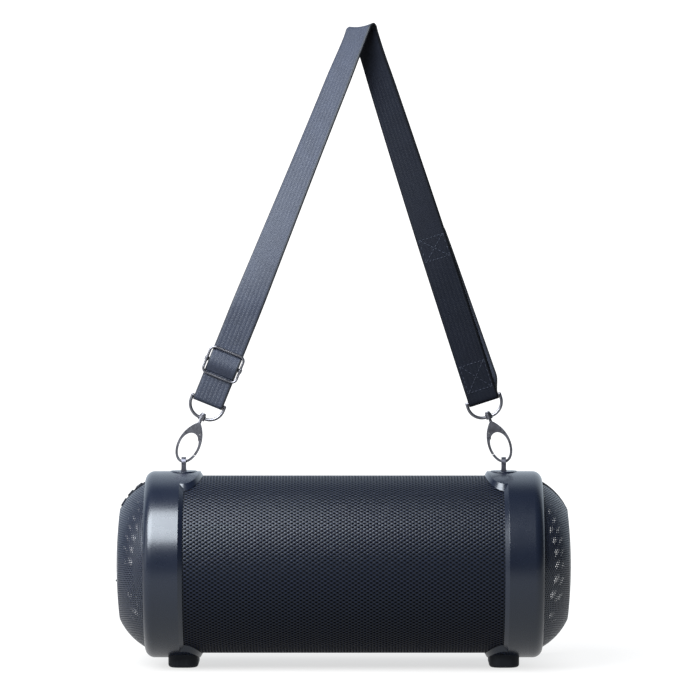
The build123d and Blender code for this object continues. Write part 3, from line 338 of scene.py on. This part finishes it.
# ------------------------------------------------------------------ mesh helpers
def build(name, points, faces, slot, body=None, smooth=True, uvs=None):
    """Make a mesh object from points and faces, give it its slot's material and its body."""
    mesh = bpy.data.meshes.new(name)
    mesh.from_pydata(points, [], faces)
    mesh.validate()
    if uvs:
        layer = mesh.uv_layers.new(name="metres")
        for loop in mesh.loops:
            layer.data[loop.index].uv = uvs[loop.vertex_index]
    for polygon in mesh.polygons:
        polygon.use_smooth = smooth
    mesh.update()
    piece = bpy.data.objects.new(name, mesh)
    bpy.context.scene.collection.objects.link(piece)
    piece.data.materials.append(slot_materials[slot])
    if body:
        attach(piece, body)
    return piece


# ------------------------------------------------------------------ perforated domes
grille_skin = 0.0005        # depth of a hole's wall
mesh_pitch = 0.0020         # from hole to hole
hole_radius = 0.00070
cell_radius = mesh_pitch / sqrt(3)
hexagon = [radians(60 * k + 30) for k in range(6)]
skirt_depth = 0.003         # how far the mesh runs in behind the ring
edge_trim = 0.2 * mesh_pitch        # cells stay this far from the sheet's edge
plain_edge = 1.2 * mesh_pitch       # and holes this far
panel_trim = 0.1 * mesh_pitch       # the same two round a panel
plain_border = 0.9 * mesh_pitch
rim_width = 0.0016
rim_proud = 0.00004
rim_side_gap = 0.00015
rim_end_gap = 0.0001
rim_steps = 14

face_centre = dome_reach - face_radius
corner_x = face_centre + sqrt(face_radius**2 - dome_corner_radius**2)
chord = Vector((corner_x - ring_end, dome_corner_radius - skirt_radius))
to_centre = sqrt(cheek_radius**2 - (chord.length / 2) ** 2)
cheek_x = (corner_x + ring_end) / 2 + to_centre * chord.y / chord.length
cheek_y = (dome_corner_radius + skirt_radius) / 2 - to_centre * chord.x / chord.length
corner_angle = atan2(corner_x - cheek_x, dome_corner_radius - cheek_y)
start_angle = acos((skirt_radius - cheek_y) / cheek_radius)
face_arc = face_radius * asin(dome_corner_radius / face_radius)
cheek_arc = cheek_radius * (corner_angle - start_angle)
sheet_radius = face_arc + cheek_arc + skirt_depth


def dome_section(spread):
    """Place and outward normal of the dome's section, at a distance along it from the middle."""
    if spread < face_arc:
        angle = spread / face_radius
        return face_centre + face_radius * cos(angle), face_radius * sin(angle), cos(angle), sin(angle)
    if spread < face_arc + cheek_arc:
        angle = corner_angle - (spread - face_arc) / cheek_radius
        x = cheek_x + cheek_radius * sin(angle)
        return x, cheek_y + cheek_radius * cos(angle), sin(angle), cos(angle)
    return ring_end - (spread - face_arc - cheek_arc), skirt_radius, 0.0, 1.0


def dome_point(sign, a, b, sink=0.0):
    """Point of the dome for a place (a, b) on the flat sheet: a to the back, b up."""
    spread = min(hypot(a, b), sheet_radius)
    x, radius, nx, nr = dome_section(spread)
    x, radius = x - sink * nx, radius - sink * nr
    share = radius / spread if spread > 1e-9 else 0.0
    return (sign * x, a * share, axis_z + b * share)


def in_panel(a, b, margin, panel_turns):
    """Whether a place on the sheet lies in a panel's cut-out, widened by a margin."""
    spread = hypot(a, b)
    if spread < face_arc - margin:
        return False
    turns = [abs(atan2(sin(atan2(a, b) - t), cos(atan2(a, b) - t))) for t in panel_turns]
    return min(turns) * spread < panel_half_angle * spread + margin


def sheet_cells():
    """Middles of the staggered hexagons that cover the flat sheet."""
    rows = ceil(sheet_radius / (mesh_pitch * sqrt(3) / 2))
    columns = ceil(sheet_radius / mesh_pitch) + 1
    for row in range(-rows, rows + 1):
        for column in range(-columns, columns + 1):
            yield (column + 0.5 * (row % 2)) * mesh_pitch, row * mesh_pitch * sqrt(3) / 2


def pierced_cell(outline, a, b, sign, points):
    """Quads between a hexagon's outline and its hole, and down the hole's wall."""
    first = len(points)
    for sink in (0.0, grille_skin):
        for t in hexagon:
            points.append(dome_point(sign, a + hole_radius * cos(t), b + hole_radius * sin(t), sink))
    quads = []
    for k in range(6):
        m = (k + 1) % 6
        quads.append((outline[k], outline[m], first + m, first + k))
        quads.append((first + k, first + m, first + 6 + m, first + 6 + k))
    return quads


def perforated_dome(side, sign, panel_turns):
    """Pressed mesh with staggered holes, left plain round the panels let into it."""
    points, faces, corner_index = [], [], {}

    def corner(a, b):
        key = (round(a * 1e6), round(b * 1e6))
        if key not in corner_index:
            corner_index[key] = len(points)
            points.append(dome_point(sign, a, b))
        return corner_index[key]

    for a, b in sheet_cells():
        spread = hypot(a, b)
        if spread > sheet_radius - edge_trim or in_panel(a, b, panel_trim, panel_turns):
            continue
        outline = [corner(a + cell_radius * cos(t), b + cell_radius * sin(t)) for t in hexagon]
        plain = spread > sheet_radius - plain_edge or in_panel(a, b, plain_border, panel_turns)
        cell = [outline] if plain else pierced_cell(outline, a, b, sign, points)
        faces.extend(cell if sign > 0 else [face[::-1] for face in cell])
    add_panel_rims(sign, panel_turns, points, faces)
    piece = build(f"{side}_dome_mesh", points, faces, "grille", "speaker", smooth=False)
    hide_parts(f"{side}_dome_grille")


def add_rim(sign, places, points, faces):
    """Strip of quads through pairs of places, each a distance along the dome and an azimuth."""
    first = len(points)
    for spread, t in places:
        points.append(dome_point(sign, spread * sin(t), spread * cos(t), -rim_proud))
    for k in range(first, first + 2 * rim_steps, 2):
        faces.append((k, k + 1, k + 3, k + 2))


def add_panel_rims(sign, panel_turns, points, faces):
    """Plain folded rims round each panel's cut-out, a hair proud of the mesh."""
    for turn in panel_turns:
        for edge in (-1, 1):
            places = []
            for k in range(rim_steps + 1):
                spread = face_arc - rim_width + (sheet_radius - face_arc + rim_width) * k / rim_steps
                for inset in (0.0, rim_width):
                    t = turn + edge * (panel_half_angle + (rim_side_gap + inset) / spread)
                    places.append((spread, t))
            add_rim(sign, places, points, faces)
        places = []
        for k in range(rim_steps + 1):
            t = turn + panel_half_angle * (2 * k / rim_steps - 1)
            places += [(face_arc - rim_end_gap, t), (face_arc - rim_width, t)]
        add_rim(sign, places, points, faces)


perforated_dome("left", -1, (0.0, port_azimuth))
perforated_dome("right", 1, (0.0,))


# ------------------------------------------------------------------ cloth round the barrel
dimple = 0.00035            # depth of an opening of the knit


def knitted_sleeve():
    """The sleeve's outer skin, dimpled at each opening of the knit."""
    half_columns = int(cloth_high[0] / (hole_pitch / 2))
    points, faces = [], []
    for place in range(-half_columns, half_columns + 1):
        for j in range(cloth_rows):
            turn = 2 * pi * j / cloth_rows
            radius = cloth_radius - (dimple if (place + j) % 2 == 0 else 0.0)
            points.append((place * hole_pitch / 2, radius * sin(turn), axis_z + radius * cos(turn)))
    for i in range(2 * half_columns):
        first, second = i * cloth_rows, (i + 1) * cloth_rows
        for j in range(cloth_rows):
            m = (j + 1) % cloth_rows
            faces.append((first + j, first + m, second + m, second + j))
    piece = build("knitted_sleeve", points, faces, "cloth", "speaker")
    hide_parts("cloth_sleeve")


knitted_sleeve()


# ------------------------------------------------------------------ strap
web_offset = dring_wire + loop_gap + web_thickness / 2
fold_stretch = 1.04         # the fold line crosses the webbing at a slant
fold_reach = 0.045          # the webbing turns onto the fold line over this length
fold_sink = 0.0012          # the fold is pressed this much lower than a half circle
fold_spread = 0.02          # and this share wider
fold_line = Vector((cos(fold_turn), -sin(fold_turn), 0.10))
fold_through = Vector((sin(fold_turn), cos(fold_turn), 0))
fold_middle = Vector((fold_x, 0, fold_z))
saddle_rise = 0.0018        # the selvedges stand this much over the middle at the fold
saddle_reach = 14           # stations each side of the fold
lap_clearance = 0.00006     # between the strap and its second layer


def eased(value):
    """Smooth step from 0 to 1."""
    share = min(max(value, 0), 1)
    return share * share * (3 - 2 * share)


class Strand:
    """One side of the strap, from its D-ring's bar up to the fold."""

    def __init__(self, side, sign, first_twist, ease):
        self.first_twist, self.ease = first_twist, ease
        boss = Vector(joints[f"{side}_hook_swivel"]["pos_m"])
        top = fold_middle + fold_through * (sign * fold_radius)
        self.lean = atan2(abs(top.x - boss.x), fold_z - boss.z)
        self.along = Vector((-sign * sin(self.lean), 0, cos(self.lean)))
        self.across = Vector((cos(self.lean), 0, sign * sin(self.lean)))
        self.bar = boss + self.along * dring_depth
        self.length = (fold_z - self.bar.z) / cos(self.lean)
        self.top_back = sign * fold_radius * fold_through.y

    def station(self, height, offset=0.0, shift=0.0):
        """Middle, half-width direction and outward (back) direction of the webbing."""
        share = min(max((height - self.first_twist) / (self.length - self.first_twist), 0), 1)
        away = -web_offset + eased(share) * (web_offset + self.top_back)
        turn = fold_turn * self.ease(share)
        width = self.across * cos(turn) - back * sin(turn)
        normal = self.across * sin(turn) + back * cos(turn)
        near_fold = eased((height - self.length + fold_reach) / fold_reach)
        width = width.lerp(fold_line * fold_stretch, near_fold)
        middle = self.bar + self.along * height + back * away
        return middle + normal * offset + width * shift, width, normal

    def stations(self):
        """One every 3 mm, from just above the bar to just below the fold."""
        return [self.station(height / 1000) for height in range(3, int(self.length * 1000) - 1, 3)]

    def bar_loop(self, turns):
        """Stations round the D-ring's bar: turn 0 in front, 180 degrees behind, passing below it."""
        stations = []
        for degree in turns:
            turn = radians(degree)
            outward = -back * cos(turn) - self.along * sin(turn)
            stations.append((self.bar + outward * web_offset, self.across.copy(), -outward))
        return stations


left_strand = Strand("left", -1, 0.080, lambda share: sin(radians(90) * share**0.72))
right_strand = Strand("right", 1, 0.100, lambda share: share**0.9)


def band_profile(width, thickness):
    """Section of the webbing with rounded selvedges, as (across, outward) places."""
    half, rim = width / 2, thickness / 2
    profile = [(-half, 0.0), (-half + 0.25 * rim, 0.8 * rim), (-half + rim, rim)]
    profile += [(half * k / 6, rim) for k in range(-5, 6)]
    profile += [(half - rim, rim), (half - 0.25 * rim, 0.8 * rim), (half, 0.0)]
    return profile + [(u, -v) for u, v in reversed(profile[1:-1])]


def ribbon(name, stations, thickness, body="strap", width=web_width, cup=None):
    """Webbing through stations of (middle, width direction, back direction), and its length."""
    profile = band_profile(width, thickness)
    count = len(profile)
    points, uvs, faces = [], [], []
    travelled = 0.0
    for k, (middle, across, outward) in enumerate(stations):
        if k:
            travelled += (middle - stations[k - 1][0]).length
        for u, v in profile:
            rise = cup(k) * (2 * u / width) ** 2 if cup else 0.0
            points.append(middle + across * u + outward * v + up * rise)
            uvs.append((u + face_shift if v > 0 else u, travelled))
    for k in range(len(stations) - 1):
        first, second = k * count, (k + 1) * count
        for i in range(count):
            m = (i + 1) % count
            faces.append((first + i, first + m, second + m, second + i))
    faces.append(tuple(range(count))[::-1])
    faces.append(tuple((len(stations) - 1) * count + i for i in range(count)))
    return build(name, points, faces, "webbing", body, uvs=uvs), travelled


def hand_fold():
    """Stations over the fold, from the left strand to the right."""
    stations = []
    for degree in range(10, 180, 10):
        turn = radians(degree)
        middle = fold_middle - fold_through * (fold_radius * cos(turn))
        middle += up * ((fold_radius - fold_sink) * sin(turn))
        outward = fold_through * cos(turn) - up * sin(turn)
        spread = 1 + fold_spread * sin(turn)
        stations.append((middle, fold_line * fold_stretch * spread, outward))
    return stations


def strap_band():
    fold = hand_fold()
    stations = left_strand.bar_loop(range(180, -1, -15)) + left_strand.stations() + fold
    fold_place = len(stations) - len(fold) / 2
    right = right_strand.stations()
    stations += [(middle, width, -normal) for middle, width, normal in reversed(right)]
    loop = right_strand.bar_loop(range(0, 181, 15))
    stations += [(middle, width, -inward) for middle, width, inward in loop]

    def saddle(k):
        """The selvedges stand a little higher than the middle over the hand fold."""
        return saddle_rise * max(1 - abs(k - fold_place) / saddle_reach, 0) ** 1.5

    band, length = ribbon("strap_webbing", stations, web_thickness, cup=saddle)
    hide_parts("strap_main")


def sewn_lap():
    """Second layer behind the right strand, fanned out a little above the D-ring."""
    start, settled, steps = 0.0002, 0.016, 47
    gap = web_thickness + lap_clearance
    stations = []
    for k in range(steps + 1):
        height = start + (lap_length - start) * k / steps
        near = eased(height / settled)
        offset = 2 * web_offset + (gap - 2 * web_offset) * near
        shift = lap_shift * near * (1 - height / lap_length) ** 0.8
        stations.append(right_strand.station(height, offset, shift))
    lap, length = ribbon("strap_lap_webbing", stations, web_thickness)
    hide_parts("strap_lap")


strap_band()
sewn_lap()

# ------------------------------------------------------------------ adjuster: thin end and hump
frame_low, frame_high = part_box("buckle_frame")
buckle_height = ((frame_low[2] + frame_high[2]) / 2 - left_strand.bar.z) / cos(left_strand.lean)
bar_back = -web_offset + web_thickness / 2 + 2 * loop_gap + return_thickness + buckle_wire
hump_reach = 0.0092         # each way from the adjuster's bar
hump_rise = 0.0036
hump_width = 0.0246         # inside the frame's window
hump_thickness = 0.0009
hump_sink = 0.0002          # its ends run this deep into the strap


def left_place(height, away):
    """Point over the middle of the left strand's flat run, away to the back."""
    return left_strand.bar + left_strand.along * height + back * away


def thin_end():
    """The strap's thin end, from the D-ring up behind the strap and over the adjuster's bar."""
    wrap = buckle_wire + loop_gap + return_thickness / 2
    lower = web_offset - web_thickness / 2 + return_thickness / 2
    stations = []
    for k in range(13):
        height = 0.0001 + (buckle_height - 0.0001) * k / 12
        away = lower + (bar_back + wrap - lower) * (k / 12) ** 1.3
        stations.append((left_place(height, away), left_strand.across, back))
    bar = left_place(buckle_height, bar_back)
    for degree in range(15, 181, 15):
        turn = radians(degree)
        outward = back * cos(turn) + left_strand.along * sin(turn)
        stations.append((bar + outward * wrap, left_strand.across, outward))
    for drop in (0.002, 0.004, 0.007):
        stations.append((left_place(buckle_height - drop, bar_back - wrap), left_strand.across, -back))
    end, length = ribbon("adjuster_thin_end", stations, return_thickness, body=None)
    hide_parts("strap_return")
    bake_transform(end)


def webbing_hump():
    """Where the strap rides up over the adjuster's bar, inside the frame's window."""
    stations = []
    for k in range(19):
        share = k / 18 * 2 - 1
        lift = hump_rise * (0.5 + 0.5 * cos(pi * share)) ** 0.6
        away = -web_offset - web_thickness / 2 + hump_sink - lift
        stations.append((left_place(buckle_height + share * hump_reach, away), left_strand.across, back))
    hump, length = ribbon("adjuster_hump", stations, hump_thickness, body="adjuster", width=hump_width)


thin_end()
webbing_hump()


# ------------------------------------------------------------------ stitches
thread = 0.00022            # radius of the sewing thread
stitch_length = 0.0026      # along the band
stitch_step = 0.0036
cross_stitch = 0.0024       # across the band
cross_reach = 0.0095        # outermost of these, from the band's middle
slant_stitch = 0.0013       # half of one stitch of the cross
side_reach = 0.0100         # the two rows along the band, from its middle
box_width = 0.0190


def stitch_rows(name, places):
    """Short raised threads from a list of (start, end, outward) on a band's face."""
    points, faces = [], []
    for start, end, outward in places:
        aside = (end - start).normalized().cross(outward).normalized()
        first = len(points)
        for share, size in ((0.0, 0.35), (0.2, 1.0), (0.8, 1.0), (1.0, 0.35)):
            middle = start.lerp(end, share) + outward * (thread * (size - 0.45))
            for k in range(6):
                turn = 2 * pi * k / 6
                beside = aside * (thread * size * cos(turn))
                points.append(middle + beside + outward * (thread * size * sin(turn)))
        for a in range(first, first + 18, 6):
            for k in range(6):
                m = (k + 1) % 6
                faces.append((a + k, a + m, a + 6 + m, a + 6 + k))
        faces.append(tuple(first + k for k in range(6))[::-1])
        faces.append(tuple(first + 18 + k for k in range(6)))
    build(name, points, faces, "webbing", "strap")


def front_face(height):
    """Place on the right strand's front face, its width direction and the way out of it."""
    middle, width, normal = right_strand.station(height, -web_thickness / 2)
    return middle, width, -normal


def box_stitch(low, high):
    """A sewn box with a cross in it."""
    places = []
    for height in (low, high):
        middle, width, outward = front_face(height)
        for k in range(7):
            u = -cross_reach + 2 * cross_reach * k / 6
            half = cross_stitch / 2
            places.append((middle + width * (u - half), middle + width * (u + half), outward))
    count = max(int((high - low) / stitch_step), 2)
    for shift in (-side_reach, side_reach):
        for k in range(count):
            height = low + (high - low - stitch_length) * k / (count - 1)
            start, width, outward = front_face(height)
            end = front_face(height + stitch_length)[0]
            places.append((start + width * shift, end + width * shift, outward))
    for slant in (-box_width, box_width):
        for k in range(8):
            share = (k + 0.5) / 8
            middle, width, outward = front_face(low + (high - low) * share)
            run = (right_strand.along * (high - low) + width * slant).normalized() * slant_stitch
            middle = middle + width * (slant * (share - 0.5))
            places.append((middle - run, middle + run, outward))
    return places


stitch_rows("right_front_stitches", box_stitch(0.008, 0.030))
stitch_rows("lap_top_stitches", box_stitch(lap_length - 0.022, lap_length - 0.004))


# ------------------------------------------------------------------ key symbols
symbol_sunk, symbol_proud = 0.00010, 0.00006


def key_frame(key):
    """Middle of a key's crown, its outward direction, and directions right and up on it."""
    outward = -Vector(joints[f"{key}_press"]["axis"])
    low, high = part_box(key)
    middle = (Vector(low) + Vector(high)) / 2
    crown = max((v.co.copy() for v in nodes[key].data.vertices), key=lambda p: p.dot(outward))
    middle += outward * (crown.dot(outward) - middle.dot(outward))
    return middle, outward, back, -outward.cross(back).normalized()


def symbol(key, outlines):
    """Flat raised outlines, in millimetres on the key's crown, printed in pale ink."""
    middle, outward, right, upward = key_frame(key)
    points, faces = [], []
    for outline in outlines:
        first, count = len(points), len(outline)
        for height in (-symbol_sunk, symbol_proud):
            for u, v in outline:
                points.append(middle + right * (u / 1000) + upward * (v / 1000) + outward * height)
        faces.append(tuple(first + count + k for k in range(count)))
        for k in range(count):
            m = (k + 1) % count
            faces.append((first + k, first + m, first + count + m, first + count + k))
    build(f"{key}_symbol", points, faces, "light_pipe", bodies_of[key], smooth=False)


def bar_shape(width, height, x=0.0, y=0.0):
    """Outline of an upright rectangle about its middle."""
    return [(x - width / 2, y - height / 2), (x + width / 2, y - height / 2),
            (x + width / 2, y + height / 2), (x - width / 2, y + height / 2)]


def arc_band(radius, width, first, last, steps=18):
    """Outline of a curved bar between two angles."""
    turns = [radians(first + (last - first) * k / steps) for k in range(steps + 1)]
    outer = [(radius * cos(turn), radius * sin(turn)) for turn in turns]
    inner = [(u * (1 - width / radius), v * (1 - width / radius)) for u, v in reversed(outer)]
    return outer + inner


triangle = [(-1.5, -1.1), (0.1, 0), (-1.5, 1.1)]
symbol("play_key", [triangle, bar_shape(0.45, 2.1, 0.75), bar_shape(0.45, 2.1, 1.55)])
symbol("volume_down_key", [bar_shape(2.6, 0.5)])
symbol("volume_up_key", [bar_shape(2.6, 0.5)] + [bar_shape(0.5, 1.05, 0, y) for y in (0.775, -0.775)])
symbol("power_key", [arc_band(1.5, 0.45, 125, 415), bar_shape(0.45, 1.5, 0, 1.0)])
symbol("mode_key", [bar_shape(2.6, 0.45, 0, y) for y in (1.0, 0.0, -1.0)])


# ------------------------------------------------------------------ studio
floor_glow = 0.87


def studio_floor_white():
    """Matt floor that the camera sees white, a little shaded below the barrel.

    As a light, and in mirrors, it is dimmer, most of all far out in front.
    """
    n = Material("studio_floor_white")
    x, y, _ = n.split(n.position())
    beyond_side = n.between(n.math("ABSOLUTE", x), 0.10, 0.20, smooth=True)
    beyond_front = n.between(n.math("ABSOLUTE", n.math("SUBTRACT", y, 0.01)), 0.01, 0.10, smooth=True)
    below = n.between(n.math("MAXIMUM", beyond_side, beyond_front), 0, 1, 0.76, 1.0)
    fade = n.between(y, -0.9, -0.3, 0.42, floor_glow, smooth=True)
    fade = n.math("ADD", fade, n.between(y, 0.15, 0.8, 0.0, 0.3, smooth=True))
    path = n.add("ShaderNodeLightPath").outputs
    mirrored = n.math("ADD", path["Is Glossy Ray"], path["Is Transmission Ray"], clamp=True)
    cast = n.math("MULTIPLY", fade, n.between(mirrored, 0, 1, 0.35, 0.74))
    reach = n.math("MAXIMUM", n.math("ABSOLUTE", x), n.math("ABSOLUTE", y))
    seen = n.math("MULTIPLY", path["Is Camera Ray"], n.between(reach, 0.15, 0.8, floor_glow, 1.15))
    glow = n.math("MULTIPLY", below, n.math("MAXIMUM", cast, seen))
    n.link(glow, n.shader.inputs["Emission Strength"])
    n.shader.inputs["Emission Color"].default_value = (1, 1, 1, 1)
    fibre = n.between(n.noise(9.0), 0.3, 0.7, 0.0, 1.0)
    return n.finish(n.mix(fibre, (0.10, 0.10, 0.10, 1), (0.11, 0.11, 0.11, 1)), 0.9, specular=0.1)


def studio_floor():
    """Wide pale disc, its far edge hidden in the white behind it."""
    rings, spokes = (0.6, 1.6, 3.5, 7.0), 48
    turns = [2 * pi * k / spokes for k in range(spokes)]
    points = [(0, 0, 0)] + [(reach * cos(turn), reach * sin(turn), 0) for reach in rings for turn in turns]
    faces = [(0, 1 + k, 1 + (k + 1) % spokes) for k in range(spokes)]
    for ring in range(len(rings) - 1):
        first, second = 1 + ring * spokes, 1 + (ring + 1) * spokes
        for k in range(spokes):
            m = (k + 1) % spokes
            faces.append((first + k, second + k, second + m, first + m))
    mesh = bpy.data.meshes.new("studio_floor")
    mesh.from_pydata(points, [], faces)
    floor = bpy.data.objects.new("studio_floor", mesh)
    bpy.context.scene.collection.objects.link(floor)
    floor.data.materials.append(studio_floor_white())


def studio_world():
    """White to the camera all round; as a light, bright behind the object and dim in front."""
    world = bpy.data.worlds.new("studio")
    world.use_nodes = True
    n = Nodes(world.node_tree)
    _, depth, _ = n.split(n.add("ShaderNodeTexCoord").outputs["Generated"])
    behind = n.between(depth, 0.3, 0.68, 0.12, 1.25, smooth=True)
    seen = n.add("ShaderNodeLightPath").outputs["Is Camera Ray"]
    background = n.tree.nodes["Background"]
    n.feed(background.inputs["Color"], n.mix(seen, (0.80, 0.90, 1.0, 1), (1, 1, 1, 1)))
    n.feed(background.inputs["Strength"], n.math("MAXIMUM", seen, behind))
    bpy.context.scene.world = world


def softbox(name, place, target, size, power):
    light = bpy.data.lights.new(name, "AREA")
    light.shape = "RECTANGLE"
    light.size, light.size_y = size
    light.energy = power
    lamp = bpy.data.objects.new(name, light)
    bpy.context.scene.collection.objects.link(lamp)
    lamp.location = place
    lamp.rotation_euler = (Vector(target) - Vector(place)).to_track_quat("-Z", "Y").to_euler()


studio_floor()
studio_world()
softbox("left_softbox", (-0.66, -0.66, 0.92), (-0.66, 0, 0.08), (1.12, 0.8), 50.0)
softbox("left_card", (-1.3, -0.25, 0.5), (0, 0, 0.3), (0.6, 0.8), 2.5)


def aim_camera():
    """Long lens, almost level, set a little right of the barrel's middle."""
    elevation, distance = radians(2.3), 3.56
    target = Vector((0.005, 0.0, 0.2526))
    camera_data = bpy.data.cameras.new("camera")
    camera_data.lens = 229.0
    camera_data.sensor_width = 36.0
    camera_data.dof.use_dof = False
    camera = bpy.data.objects.new("camera", camera_data)
    bpy.context.scene.collection.objects.link(camera)
    camera.location = target + Vector((0, -cos(elevation), sin(elevation))) * distance
    camera.rotation_euler = (target - camera.location).to_track_quat("-Z", "Y").to_euler()
    bpy.context.scene.camera = camera


aim_camera()
scene = bpy.context.scene
scene.view_settings.view_transform = "Standard"
